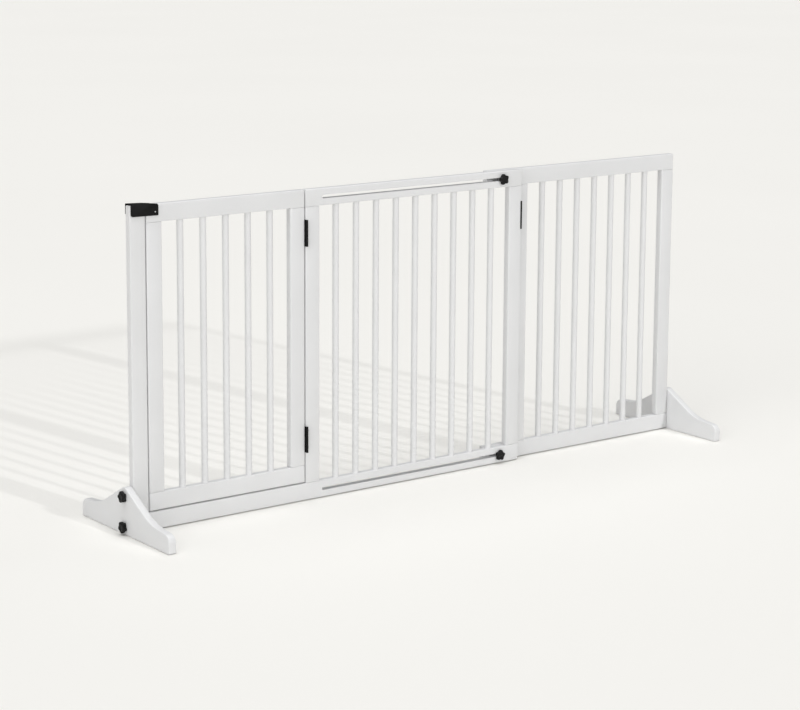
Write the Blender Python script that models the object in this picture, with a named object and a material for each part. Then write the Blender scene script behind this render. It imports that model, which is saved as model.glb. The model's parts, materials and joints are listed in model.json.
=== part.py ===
"""Freestanding pet gate: a post and a fixed middle panel on one long bottom rail, a hinged door
between them that a flip-over latch holds shut, and a second panel that slides behind the middle
one to set the gate's length. Two cross feet, each on two star knobs, keep it upright.

Sizes are in metres. Until the last step every position is measured from the left end of the
bottom rail (X), the front face of the middle panel (Y, backwards) and the floor (Z).
"""

import math

import bmesh
import bpy
from mathutils import Matrix, Vector

# Boards
GATE_HEIGHT = 0.710
BOARD_THICKNESS = 0.018
STILE_WIDTH = 0.038
RAIL_HEIGHT = 0.039
EDGE_RADIUS = 0.0025
EDGE_STEPS = 2
RAIL_GROUND_CLEARANCE = 0.002
SEAM = 0.0003

# Two hinge leaves lie flat in the gap between the door and the middle panel
HINGE_LEAF = 0.0007
HINGE_LEAF_CLEARANCE = 0.0004
HINGE_GAP = 2 * (SEAM + HINGE_LEAF) + HINGE_LEAF_CLEARANCE

# Widths along the gate
LATCH_GAP = 0.0020
DOOR_WIDTH = 0.4040
MIDDLE_WIDTH = 0.6226
DOOR_SILL_GAP = 0.003

# Sliding panel
PANEL_GAP = 0.0015
EXTENSION_LENGTH = 0.604
REST_OVERLAP = 0.091
INNER_STILE_INSET = 0.0885
CLAMP_BOLT_INSET = 0.032
SLOT_WIDTH = 0.008
SLOT_SPARE_TRAVEL = 0.0045
FOOT_STOP_CLEARANCE = 0.003
SLOT_SIDES = 6

# Round bars, glued into blind holes in the rails
BAR_DIAMETER = 0.015
BAR_SIDES = 16
BAR_SEAT_DEPTH = 0.012
BAR_CLEARANCE = 0.0003
DOOR_BARS = 5
MIDDLE_BARS = 9
EXTENSION_BARS = 7
DOOR_BAR_END = 0.0495
MIDDLE_BAR_END = 0.0495
EXTENSION_BAR_END = 0.052

# Cross feet
FOOT_HALF_LENGTH = 0.184
FOOT_THICKNESS = 0.018
FOOT_APEX_HEIGHT = 0.1075
FOOT_APEX_RADIUS = 0.017
FOOT_FLANK_FALL = 0.570
FOOT_FLANK_RUN = 0.106
FOOT_FLANK_RADIUS = 0.140
FOOT_END_HEIGHT = 0.0400
FOOT_END_RADIUS = 0.018
FOOT_HEEL_RADIUS = 0.005
FOOT_EDGE_RADIUS = 0.0025
FOOT_STEPS = 6
FOOT_BOLT_LOW = 0.017
FOOT_BOLT_HIGH = 0.084

# Star knobs, each moulded onto a steel stud
KNOB_RADIUS = 0.0116
KNOB_LOBE_DEPTH = 0.0015
KNOB_LOBES = 5
KNOB_THICKNESS = 0.0095
KNOB_EDGE = 0.0016
KNOB_POINTS_PER_LOBE = 8
KNOB_REST_TURNS = {
    "left_foot_lower_knob": math.radians(36),
    "left_foot_upper_knob": math.radians(16),
    "lower_clamp_knob": math.radians(10),
    "upper_clamp_knob": math.radians(31),
    "right_foot_lower_knob": math.radians(24),
    "right_foot_upper_knob": math.radians(51),
}
STUD_RADIUS = 0.003
STUD_CLEARANCE = 0.0003
STUD_SIDES = 12
STUD_SEAT_DEPTH = 0.004
FOOT_STUD_REACH = 0.022
CLAMP_STUD_REACH = 0.010
INSERT_RADIUS = 0.005
INSERT_LENGTH = 0.012

# Butt hinges in the gap between the door and the middle panel
HINGE_HEIGHT = 0.060
UPPER_HINGE_TOP = 0.643
LOWER_HINGE_BOTTOM = 0.113
HINGE_LEAF_DEPTH = 0.0145
HINGE_BARREL_RADIUS = 0.0030
HINGE_STAND_OFF = 0.0018
HINGE_AXIS_SHIFT = 0.0011
HINGE_PIN_RADIUS = 0.0015
HINGE_KNUCKLES = 3
HINGE_SIDES = 16
HINGE_CLEARANCE = 0.0003

# Flip-over latch, a folded steel channel that pivots on a pin through the door's top rail
LATCH_SHEET = 0.0015
LATCH_CHEEK_GAP = 0.0020
LATCH_CLEARANCE = 0.0004
LATCH_END_INSET = 0.0018
LATCH_BEYOND_PIN = 0.0076
LATCH_PIN_INSET = 0.0205
LATCH_PIN_BELOW_TOP = 0.0164
LATCH_BELOW_PIN = 0.0080
LATCH_LOWER_EDGE_RISE = 0.0011
LATCH_WEB_RISE = 0.0053
LATCH_WEB_FALL = 0.0016
LATCH_WEB_BACK_FALL = 0.0020
LATCH_NOSE_FALL = 0.0032
LATCH_WEB_PAST_POST = 0.0005
LATCH_BACK_CHEEK_RISE = 0.0049
LATCH_PIN_RADIUS = 0.0016
LATCH_PIN_HEAD = 0.0008
LATCH_NOSE_RADIUS = 0.005
LATCH_HEEL_RADIUS = 0.0015
LATCH_TOE_RADIUS = 0.005
LATCH_PIN_SIDES = 12

# Edge guard on the middle panel's right stile
GUARD_LENGTH = 0.067
GUARD_TOP = 0.634
GUARD_SHEET = 0.0008
GUARD_LIP = 0.0035
GUARD_DEPTH = 0.0145

# Levels and edges that follow from the sizes above
SILL_BOTTOM = RAIL_GROUND_CLEARANCE
SILL_TOP = SILL_BOTTOM + RAIL_HEIGHT
TOP_RAIL_BOTTOM = GATE_HEIGHT - RAIL_HEIGHT
DOOR_BOTTOM = SILL_TOP + DOOR_SILL_GAP
DOOR_RAIL_TOP = DOOR_BOTTOM + RAIL_HEIGHT
DOOR_LEFT = STILE_WIDTH + LATCH_GAP
DOOR_RIGHT = DOOR_LEFT + DOOR_WIDTH
MIDDLE_LEFT = DOOR_RIGHT + HINGE_GAP
MIDDLE_RIGHT = MIDDLE_LEFT + MIDDLE_WIDTH
EXTENSION_LEFT = MIDDLE_RIGHT - REST_OVERLAP
EXTENSION_RIGHT = EXTENSION_LEFT + EXTENSION_LENGTH
EXTENSION_FRONT = BOARD_THICKNESS + PANEL_GAP
CLAMP_BOLT_X = EXTENSION_LEFT + CLAMP_BOLT_INSET
TRAVEL = EXTENSION_RIGHT + SEAM - MIDDLE_RIGHT - FOOT_STOP_CLEARANCE
PANEL_CENTRE_Y = BOARD_THICKNESS / 2
EXTENSION_CENTRE_Y = EXTENSION_FRONT + BOARD_THICKNESS / 2
SLOT_LOW_Z = (SILL_BOTTOM + SILL_TOP) / 2
SLOT_HIGH_Z = (TOP_RAIL_BOTTOM + GATE_HEIGHT) / 2
HINGE_AXIS = Vector((
    DOOR_RIGHT + HINGE_GAP / 2 + HINGE_AXIS_SHIFT,
    -HINGE_BARREL_RADIUS - HINGE_STAND_OFF,
    0,
))
LATCH_AXIS = Vector((
    DOOR_LEFT + LATCH_PIN_INSET,
    PANEL_CENTRE_Y,
    GATE_HEIGHT - LATCH_PIN_BELOW_TOP,
))
KNOB_REACH = SEAM + KNOB_THICKNESS
LEFT_END = -SEAM - FOOT_THICKNESS - KNOB_REACH
RIGHT_END = EXTENSION_RIGHT + SEAM + FOOT_THICKNESS + KNOB_REACH
GATE_ORIGIN = Vector((-(LEFT_END + RIGHT_END) / 2, -(BOARD_THICKNESS + PANEL_GAP / 2), 0))


def make_material(name, colour, roughness, metallic=0.0):
    material = bpy.data.materials.new(name)
    material.use_nodes = True
    shader = material.node_tree.nodes["Principled BSDF"]
    shader.inputs["Base Color"].default_value = (*colour, 1.0)
    shader.inputs["Roughness"].default_value = roughness
    shader.inputs["Metallic"].default_value = metallic
    return material


def arc(centre, radius, start, end, steps):
    """Points on an arc from one angle to another, both ends included."""
    return [
        Vector((
            centre[0] + radius * math.cos(start + (end - start) * i / steps),
            centre[1] + radius * math.sin(start + (end - start) * i / steps),
        ))
        for i in range(steps + 1)
    ]


def circle(radius, sides):
    """A closed round outline with a flat side facing each axis."""
    turn = 2 * math.pi / sides
    return [
        Vector((radius * math.cos((i + 0.5) * turn), radius * math.sin((i + 0.5) * turn)))
        for i in range(sides)
    ]


def fillet(corners, steps):
    """Round each corner of a closed outline. A corner is (point, radius)."""
    outline = []
    count = len(corners)
    for index, (point, radius) in enumerate(corners):
        before = (Vector(corners[index - 1][0]) - Vector(point)).normalized()
        after = (Vector(corners[(index + 1) % count][0]) - Vector(point)).normalized()
        if radius == 0:
            outline.append(Vector(point))
            continue
        half = before.angle(after) / 2
        centre = Vector(point) + (before + after).normalized() * radius / math.sin(half)
        first = Vector(point) + before * radius / math.tan(half) - centre
        last = Vector(point) + after * radius / math.tan(half) - centre
        start = math.atan2(first.y, first.x)
        sweep = math.remainder(math.atan2(last.y, last.x) - start, 2 * math.pi)
        outline += arc(centre, radius, start, start + sweep, steps)
    return outline


def rounded_rectangle(width, height):
    """A board's section, centred, with its four long edges rounded."""
    half_w = width / 2
    half_h = height / 2
    corners = [
        ((-half_w, -half_h), EDGE_RADIUS),
        ((half_w, -half_h), EDGE_RADIUS),
        ((half_w, half_h), EDGE_RADIUS),
        ((-half_w, half_h), EDGE_RADIUS),
    ]
    return fillet(corners, EDGE_STEPS)


def along(axis, a, b, c):
    """A point from two coordinates of an outline and one along the axis of extrusion."""
    if axis == "X":
        return Vector((c, a, b))
    if axis == "Y":
        return Vector((a, c, b))
    return Vector((a, b, c))


def loft(rings, axis):
    """A closed solid through equal rings, each a list of 2-D points and a place on the axis."""
    mesh = bmesh.new()
    loops = [
        [mesh.verts.new(along(axis, point[0], point[1], place)) for point in outline]
        for outline, place in rings
    ]
    for lower, upper in zip(loops, loops[1:]):
        for i in range(len(lower)):
            j = (i + 1) % len(lower)
            mesh.faces.new((lower[i], lower[j], upper[j], upper[i]))
    mesh.faces.new(loops[0])
    mesh.faces.new(loops[-1])
    bmesh.ops.recalc_face_normals(mesh, faces=mesh.faces)
    return mesh


def prism(outline, axis, start, end):
    return loft([(outline, start), (outline, end)], axis)


def merge(solids):
    """Put several solids into one mesh, as separate closed shells."""
    whole = bmesh.new()
    for solid in solids:
        data = bpy.data.meshes.new("shell")
        solid.to_mesh(data)
        solid.free()
        whole.from_mesh(data)
        bpy.data.meshes.remove(data)
    return whole


def moved(solid, offset):
    bmesh.ops.translate(solid, verts=solid.verts, vec=Vector(offset))
    return solid


def add_empty(name, place, parent=None):
    empty = bpy.data.objects.new(name, None)
    bpy.context.collection.objects.link(empty)
    empty.location = place - pivots[parent] if parent else place
    empty.parent = bpy.data.objects[parent] if parent else None
    pivots[name] = place.copy()
    return empty


def add_object(name, solid, place, parent, material, smooth=False):
    """Turn a solid into a named object at a place, under the empty that carries it."""
    data = bpy.data.meshes.new(name)
    solid.to_mesh(data)
    solid.free()
    if smooth:
        data.shade_smooth()
        data.set_sharp_from_angle(angle=math.radians(35))
    data.materials.append(material)
    item = bpy.data.objects.new(name, data)
    bpy.context.collection.objects.link(item)
    item.parent = bpy.data.objects[parent]
    item.location = Vector(place) - pivots[parent]
    return item


def boolean(item, solid, operation="DIFFERENCE"):
    """Cut or join a solid, given about the object's own origin, with a live modifier."""
    data = bpy.data.meshes.new(item.name + "_tool")
    solid.to_mesh(data)
    solid.free()
    tool = bpy.data.objects.new(item.name + "_tool", data)
    bpy.context.collection.objects.link(tool)
    tool.parent = item.parent
    tool.location = item.location
    tool.rotation_euler = item.rotation_euler
    tool.hide_render = True
    tool.display_type = "WIRE"
    modifier = item.modifiers.new(operation.lower(), "BOOLEAN")
    modifier.operation = operation
    modifier.solver = "EXACT"
    modifier.object = tool


def bar_places(left, right, count, end):
    """Centres of evenly spaced bars between two stiles, the first and last 'end' from them."""
    pitch = (right - left - 2 * end) / (count - 1)
    return [left + end + pitch * i for i in range(count)]


def bar_holes(centres, board_centre, inner_edge, towards):
    """Blind holes for bars, about a rail's centre. 'towards' is +1 for a hole that goes up."""
    outline = circle(BAR_DIAMETER / 2 + BAR_CLEARANCE, BAR_SIDES)
    mouth = inner_edge - towards * BAR_CLEARANCE - board_centre[2]
    end = inner_edge + towards * BAR_SEAT_DEPTH - board_centre[2]
    return [
        moved(prism(outline, "Z", min(mouth, end), max(mouth, end)), (x - board_centre[0], 0, 0))
        for x in centres
    ]


def slot_cutter(board_centre):
    """The long round-ended slot that the clamp bolt runs in, about a rail's centre."""
    radius = SLOT_WIDTH / 2
    left = CLAMP_BOLT_X - TRAVEL - SLOT_SPARE_TRAVEL - board_centre[0]
    right = CLAMP_BOLT_X - board_centre[0]
    outline = arc((right, 0), radius, -math.pi / 2, math.pi / 2, SLOT_SIDES)
    outline += arc((left, 0), radius, math.pi / 2, 3 * math.pi / 2, SLOT_SIDES)
    return prism(outline, "Y", -BOARD_THICKNESS, BOARD_THICKNESS)


def stud_hole(axis, place, depth, radius):
    """A round hole along X or Y that starts just outside a face and ends 'depth' inside it."""
    outside = -math.copysign(SEAM, depth)
    hole = prism(circle(radius, STUD_SIDES), axis, outside, depth)
    return moved(hole, place)


def add_rail(name, left, right, bottom, centre_y, parent, tools):
    centre = ((left + right) / 2, centre_y, bottom + RAIL_HEIGHT / 2)
    half = (right - left) / 2
    section = rounded_rectangle(BOARD_THICKNESS, RAIL_HEIGHT)
    rail = add_object(name, prism(section, "X", -half, half), centre, parent, paint)
    boolean(rail, merge([solid for tool in tools for solid in tool(centre)]))
    return rail


def add_stile(name, left, bottom, top, centre_y, parent):
    centre = (left + STILE_WIDTH / 2, centre_y, (bottom + top) / 2)
    half = (top - bottom) / 2
    section = rounded_rectangle(STILE_WIDTH, BOARD_THICKNESS)
    return add_object(name, prism(section, "Z", -half, half), centre, parent, paint)


def add_bars(name, centres, bottom, top, centre_y, parent):
    reach = BAR_SEAT_DEPTH - BAR_CLEARANCE
    half = (top - bottom) / 2 + reach
    for number, x in enumerate(centres, 1):
        bar = prism(circle(BAR_DIAMETER / 2, BAR_SIDES), "Z", -half, half)
        place = (x, centre_y, (bottom + top) / 2)
        add_object(f"{name}_{number}", bar, place, parent, paint, smooth=True)


def foot_outline():
    """Side view of a foot, centred: a low apex, hollow flanks and rounded toes."""
    flank_height = FOOT_APEX_HEIGHT - FOOT_FLANK_FALL * FOOT_FLANK_RUN
    right = [
        ((FOOT_HALF_LENGTH, 0.0), FOOT_HEEL_RADIUS),
        ((FOOT_HALF_LENGTH, FOOT_END_HEIGHT), FOOT_END_RADIUS),
        ((FOOT_FLANK_RUN, flank_height), FOOT_FLANK_RADIUS),
    ]
    left = [((-point[0], point[1]), radius) for point, radius in reversed(right)]
    return fillet(right + [((0.0, FOOT_APEX_HEIGHT), FOOT_APEX_RADIUS)] + left, FOOT_STEPS)


def inset(outline, amount):
    """Move a closed outline inwards, each point along the mean normal of its two sides."""
    result = []
    count = len(outline)
    for i, point in enumerate(outline):
        before = (point - outline[i - 1]).normalized()
        after = (outline[(i + 1) % count] - point).normalized()
        tangent = (before + after).normalized()
        stretch = 1 / max(0.5, math.cos(before.angle(after) / 2))
        result.append(point + Vector((-tangent.y, tangent.x)) * amount * stretch)
    return result


def add_foot(name, inner_x, side, centre_y, parent):
    """A foot on the outer side of an end board. 'side' is -1 at the left end, +1 at the right."""
    outline = foot_outline()
    drop = FOOT_EDGE_RADIUS
    half = FOOT_THICKNESS / 2
    rings = [
        (inset(outline, drop), -half),
        (inset(outline, drop * 0.3), -half + drop * 0.3),
        (outline, -half + drop),
        (outline, half - drop),
        (inset(outline, drop * 0.3), half - drop * 0.3),
        (inset(outline, drop), half),
    ]
    centre = (inner_x + side * (SEAM + half), centre_y, 0)
    foot = add_object(name, loft(rings, "X"), centre, parent, paint)
    radius = STUD_RADIUS + STUD_CLEARANCE
    holes = [
        moved(prism(circle(radius, STUD_SIDES), "X", -FOOT_THICKNESS, FOOT_THICKNESS), (0, 0, z))
        for z in (FOOT_BOLT_LOW, FOOT_BOLT_HIGH)
    ]
    boolean(foot, merge(holes))
    return foot


def knob_outline(turn, shrink=0.0):
    """The knob's lobed outline, its first lobe at the angle 'turn'."""
    points = KNOB_LOBES * KNOB_POINTS_PER_LOBE
    outline = []
    for i in range(points):
        angle = 2 * math.pi * i / points
        radius = KNOB_RADIUS - shrink + KNOB_LOBE_DEPTH * math.cos(KNOB_LOBES * angle)
        place = angle + turn
        outline.append(Vector((radius * math.cos(place), radius * math.sin(place))))
    return outline


def add_knob(name, seat, direction, reach, parent):
    """A star knob and its stud. The knob's base is at 'seat' and 'direction' points outwards."""
    pivot = name + "_axis"
    axis_place = Vector(seat)
    turn = Vector((0, 0, 1)).rotation_difference(Vector(direction)).to_euler()
    add_empty(pivot, axis_place, parent)
    rest = KNOB_REST_TURNS[name]
    rings = [
        (knob_outline(rest, KNOB_EDGE / 2), 0.0),
        (knob_outline(rest), KNOB_EDGE / 2),
        (knob_outline(rest), KNOB_THICKNESS - KNOB_EDGE),
        (knob_outline(rest, KNOB_EDGE), KNOB_THICKNESS),
    ]
    knob = add_object(name, loft(rings, "Z"), axis_place, pivot, plastic, smooth=True)
    knob.rotation_euler = turn
    hole_radius = STUD_RADIUS + STUD_CLEARANCE
    hole_end = STUD_SEAT_DEPTH + STUD_CLEARANCE
    boolean(knob, prism(circle(hole_radius, STUD_SIDES), "Z", -SEAM, hole_end))
    stud = prism(circle(STUD_RADIUS, STUD_SIDES), "Z", -reach, STUD_SEAT_DEPTH)
    stud_name = name.replace("knob", "stud")
    add_object(stud_name, stud, axis_place, pivot, zinc, smooth=True).rotation_euler = turn


def add_insert(name, x, z):
    """A threaded sleeve in the front of a sliding rail, which the clamp stud screws into."""
    sleeve = prism(circle(INSERT_RADIUS, STUD_SIDES), "Y", 0, INSERT_LENGTH)
    place = (x, EXTENSION_FRONT + SEAM, z)
    item = add_object(name, sleeve, place, "sliding_panel", zinc, smooth=True)
    bore = circle(STUD_RADIUS + STUD_CLEARANCE, STUD_SIDES)
    boolean(item, prism(bore, "Y", -SEAM, INSERT_LENGTH + SEAM))


def insert_seat(z):
    """The blind hole for a threaded sleeve, as a tool for add_rail."""
    def tool(centre):
        depth = INSERT_LENGTH + 2 * SEAM
        place = (CLAMP_BOLT_X - centre[0], -BOARD_THICKNESS / 2, z - centre[2])
        return [stud_hole("Y", place, depth, INSERT_RADIUS + STUD_CLEARANCE)]
    return tool


def end_hole(end_x, z, direction):
    """The blind hole for a foot stud in a board's end or side, as a tool for add_rail."""
    def tool(centre):
        place = (end_x - centre[0], 0, z - centre[2])
        depth = direction * (FOOT_STUD_REACH + STUD_CLEARANCE)
        return [stud_hole("X", place, depth, STUD_RADIUS + STUD_CLEARANCE)]
    return tool


def bars_tool(centres, inner_edge, towards):
    return lambda centre: bar_holes(centres, centre, inner_edge, towards)


def slot_tool(centre):
    return [slot_cutter(centre)]


def knuckle_spans(own):
    """Heights of the knuckles that belong to the frame leaf (own=0) or the door leaf (own=1)."""
    pitch = HINGE_HEIGHT / HINGE_KNUCKLES
    return [
        (pitch * i + HINGE_CLEARANCE / 2, pitch * (i + 1) - HINGE_CLEARANCE / 2)
        for i in range(HINGE_KNUCKLES)
        if i % 2 == own
    ]


def box(low, high):
    outline = [Vector((low[0], low[1])), Vector((high[0], low[1]))]
    outline += [Vector((high[0], high[1])), Vector((low[0], high[1]))]
    return prism(outline, "Z", low[2], high[2])


def add_leaf(name, bottom, own, parent):
    """A hinge leaf about the hinge axis: a plate on the stile's edge and its knuckles."""
    side = 1 if own == 0 else -1
    outer = side * (HINGE_GAP / 2 - SEAM) - HINGE_AXIS_SHIFT
    inner = outer - side * HINGE_LEAF
    low_x = min(outer, inner)
    high_x = max(outer, inner)
    front = -HINGE_AXIS.y
    plate = box((low_x, front, 0), (high_x, front + HINGE_LEAF_DEPTH, HINGE_HEIGHT))
    place = Vector((HINGE_AXIS.x, HINGE_AXIS.y, bottom))
    leaf = add_object(name, plate, place, parent, steel)
    for low, high in knuckle_spans(own):
        arm = box((low_x, 0, low), (high_x, front + HINGE_LEAF_DEPTH / 2, high))
        boolean(leaf, arm, "UNION")
        boolean(leaf, prism(circle(HINGE_BARREL_RADIUS, HINGE_SIDES), "Z", low, high), "UNION")
    bore = circle(HINGE_PIN_RADIUS + HINGE_CLEARANCE, HINGE_SIDES)
    boolean(leaf, prism(bore, "Z", -SEAM, HINGE_HEIGHT + SEAM))


def add_hinge(name, bottom):
    add_leaf(f"{name}_frame_leaf", bottom, 0, "frame")
    add_leaf(f"{name}_door_leaf", bottom, 1, "door_pivot")
    pin = prism(circle(HINGE_PIN_RADIUS, HINGE_SIDES), "Z", 0, HINGE_HEIGHT)
    place = Vector((HINGE_AXIS.x, HINGE_AXIS.y, bottom))
    add_object(f"{name}_pin", pin, place, "door_pivot", steel, smooth=True)


def latch_side():
    """Side view of the latch about its pin: a long cheek, its toe over the post."""
    left = LATCH_END_INSET - LATCH_AXIS.x
    web_right = STILE_WIDTH + LATCH_WEB_PAST_POST - LATCH_AXIS.x
    web_top = LATCH_PIN_BELOW_TOP + LATCH_WEB_RISE
    corners = [
        ((left, LATCH_LOWER_EDGE_RISE - LATCH_BELOW_PIN), LATCH_TOE_RADIUS),
        ((LATCH_BEYOND_PIN, -LATCH_BELOW_PIN), LATCH_HEEL_RADIUS),
        ((LATCH_BEYOND_PIN, web_top - LATCH_WEB_FALL - LATCH_NOSE_FALL), LATCH_NOSE_RADIUS),
        ((web_right, web_top - LATCH_WEB_FALL), 0),
        ((left, web_top), 0),
    ]
    return fillet(corners, 4)


def latch_web_level(x, y, inside):
    """Height above the pin of the web's upper face, which falls to the right and to the back."""
    left = LATCH_END_INSET - LATCH_AXIS.x
    web_right = STILE_WIDTH + LATCH_WEB_PAST_POST - LATCH_AXIS.x
    along_fall = LATCH_WEB_FALL * (x - left) / (web_right - left)
    back_fall = LATCH_WEB_BACK_FALL * (y + inside) / (2 * inside)
    return LATCH_PIN_BELOW_TOP + LATCH_WEB_RISE - along_fall - back_fall


def latch_hollow(inside):
    """The room between the cheeks, open at both ends and, past the post, at the top."""
    left = 2 * -LATCH_AXIS.x
    right = 2 * LATCH_BEYOND_PIN
    low = -2 * LATCH_BELOW_PIN
    high = 2 * (LATCH_PIN_BELOW_TOP + LATCH_WEB_RISE)
    web_right = STILE_WIDTH + LATCH_WEB_PAST_POST - LATCH_AXIS.x
    rings = []
    for y in (-inside, inside):
        under_right = latch_web_level(web_right, y, inside) - LATCH_SHEET
        under_left = latch_web_level(left, y, inside) - LATCH_SHEET
        outline = [Vector((left, low)), Vector((right, low)), Vector((right, high))]
        outline += [Vector((web_right, high)), Vector((web_right, under_right))]
        outline += [Vector((left, under_left))]
        rings.append((outline, y))
    return loft(rings, "Y")


def latch_slope(inside):
    """Everything above the web's sloping upper face, behind the front cheek."""
    left = 2 * -LATCH_AXIS.x
    right = 2 * LATCH_BEYOND_PIN
    high = 2 * (LATCH_PIN_BELOW_TOP + LATCH_WEB_RISE)
    rings = []
    for y in (-inside, 2 * inside):
        level_left = latch_web_level(left, y, inside)
        level_right = latch_web_level(right, y, inside)
        outline = [Vector((left, level_left)), Vector((right, level_right))]
        outline += [Vector((right, high)), Vector((left, high))]
        rings.append((outline, y))
    return loft(rings, "Y")


def add_latch():
    """The folded channel: a cheek on each face, joined by a web over the post's top."""
    inside = BOARD_THICKNESS / 2 + LATCH_CHEEK_GAP
    outside = inside + LATCH_SHEET
    whole = prism(latch_side(), "Y", -outside, outside)
    latch = add_object("latch", whole, LATCH_AXIS, "latch_pivot", steel)
    boolean(latch, latch_slope(inside))
    boolean(latch, latch_hollow(inside))
    back_cheek_bottom = LATCH_BACK_CHEEK_RISE - LATCH_BELOW_PIN
    boolean(latch, box(
        (2 * -LATCH_AXIS.x, 0, -2 * LATCH_BELOW_PIN),
        (2 * LATCH_BEYOND_PIN, 2 * outside, back_cheek_bottom),
    ))
    bore = circle(LATCH_PIN_RADIUS + LATCH_CLEARANCE, LATCH_PIN_SIDES)
    boolean(latch, prism(bore, "Y", -2 * outside, 2 * outside))
    reach = outside + LATCH_PIN_HEAD
    pin = prism(circle(LATCH_PIN_RADIUS, LATCH_PIN_SIDES), "Y", -reach, reach)
    add_object("latch_pin", pin, LATCH_AXIS, "door_pivot", zinc, smooth=True)


def latch_pin_tool(centre):
    bore = circle(LATCH_PIN_RADIUS + LATCH_CLEARANCE, LATCH_PIN_SIDES)
    hole = prism(bore, "Y", -BOARD_THICKNESS, BOARD_THICKNESS)
    return [moved(hole, (LATCH_AXIS.x - centre[0], 0, LATCH_AXIS.z - centre[2]))]


def add_guard():
    """A thin angle strip around the front corner of the middle panel's right stile."""
    face = MIDDLE_RIGHT + SEAM
    front = -SEAM
    outline = [
        Vector((face + GUARD_SHEET, front - GUARD_SHEET)),
        Vector((face + GUARD_SHEET, GUARD_DEPTH)),
        Vector((face, GUARD_DEPTH)),
        Vector((face, front)),
        Vector((MIDDLE_RIGHT - GUARD_LIP, front)),
        Vector((MIDDLE_RIGHT - GUARD_LIP, front - GUARD_SHEET)),
    ]
    outline = [point - Vector((MIDDLE_RIGHT, 0)) for point in outline]
    solid = prism(outline, "Z", 0, GUARD_LENGTH)
    add_object("edge_guard", solid, (MIDDLE_RIGHT, 0, GUARD_TOP - GUARD_LENGTH), "frame", steel)


def build_frame():
    bars = bar_places(
        MIDDLE_LEFT + STILE_WIDTH, MIDDLE_RIGHT - STILE_WIDTH, MIDDLE_BARS, MIDDLE_BAR_END
    )
    y = PANEL_CENTRE_Y
    add_rail("bottom_rail", 0, MIDDLE_RIGHT, SILL_BOTTOM, y, "frame", [
        bars_tool(bars, SILL_TOP, -1), slot_tool, end_hole(0, FOOT_BOLT_LOW, 1),
    ])
    add_rail("middle_top_rail", MIDDLE_LEFT, MIDDLE_RIGHT, TOP_RAIL_BOTTOM, y, "frame", [
        bars_tool(bars, TOP_RAIL_BOTTOM, 1), slot_tool,
    ])
    low = SILL_TOP + SEAM
    high = TOP_RAIL_BOTTOM - SEAM
    add_stile("middle_left_stile", MIDDLE_LEFT, low, high, y, "frame")
    add_stile("middle_right_stile", MIDDLE_RIGHT - STILE_WIDTH, low, high, y, "frame")
    add_bars("middle_bar", bars, SILL_TOP, TOP_RAIL_BOTTOM, y, "frame")
    post = add_stile("end_post", 0, low, GATE_HEIGHT, y, "frame")
    post_centre = (STILE_WIDTH / 2, y, (low + GATE_HEIGHT) / 2)
    boolean(post, end_hole(0, FOOT_BOLT_HIGH, 1)(post_centre)[0])
    add_foot("left_foot", 0, -1, y, "frame")
    add_guard()


def build_door():
    bars = bar_places(
        DOOR_LEFT + STILE_WIDTH, DOOR_RIGHT - STILE_WIDTH, DOOR_BARS, DOOR_BAR_END
    )
    y = PANEL_CENTRE_Y
    add_rail("door_top_rail", DOOR_LEFT, DOOR_RIGHT, TOP_RAIL_BOTTOM, y, "door_pivot", [
        bars_tool(bars, TOP_RAIL_BOTTOM, 1), latch_pin_tool,
    ])
    add_rail("door_bottom_rail", DOOR_LEFT, DOOR_RIGHT, DOOR_BOTTOM, y, "door_pivot", [
        bars_tool(bars, DOOR_RAIL_TOP, -1),
    ])
    low = DOOR_RAIL_TOP + SEAM
    high = TOP_RAIL_BOTTOM - SEAM
    add_stile("door_latch_stile", DOOR_LEFT, low, high, y, "door_pivot")
    add_stile("door_hinge_stile", DOOR_RIGHT - STILE_WIDTH, low, high, y, "door_pivot")
    add_bars("door_bar", bars, DOOR_RAIL_TOP, TOP_RAIL_BOTTOM, y, "door_pivot")


def build_extension():
    inner_left = EXTENSION_LEFT + INNER_STILE_INSET
    outer_left = EXTENSION_RIGHT - STILE_WIDTH
    bars = bar_places(inner_left + STILE_WIDTH, outer_left, EXTENSION_BARS, EXTENSION_BAR_END)
    y = EXTENSION_CENTRE_Y
    left = EXTENSION_LEFT
    right = EXTENSION_RIGHT
    body = "sliding_panel"
    add_rail("extension_top_rail", left, right, TOP_RAIL_BOTTOM, y, body, [
        bars_tool(bars, TOP_RAIL_BOTTOM, 1), insert_seat(SLOT_HIGH_Z),
    ])
    add_rail("extension_bottom_rail", left, right, SILL_BOTTOM, y, body, [
        bars_tool(bars, SILL_TOP, -1), insert_seat(SLOT_LOW_Z), end_hole(right, FOOT_BOLT_LOW, -1),
    ])
    low = SILL_TOP + SEAM
    high = TOP_RAIL_BOTTOM - SEAM
    add_stile("extension_inner_stile", inner_left, low, high, y, body)
    outer = add_stile("extension_outer_stile", outer_left, low, high, y, body)
    outer_centre = (outer_left + STILE_WIDTH / 2, y, (low + high) / 2)
    boolean(outer, end_hole(right, FOOT_BOLT_HIGH, -1)(outer_centre)[0])
    add_bars("extension_bar", bars, SILL_TOP, TOP_RAIL_BOTTOM, y, body)
    add_foot("right_foot", EXTENSION_RIGHT, 1, y, body)
    add_insert("upper_insert", CLAMP_BOLT_X, SLOT_HIGH_Z)
    add_insert("lower_insert", CLAMP_BOLT_X, SLOT_LOW_Z)


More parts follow.
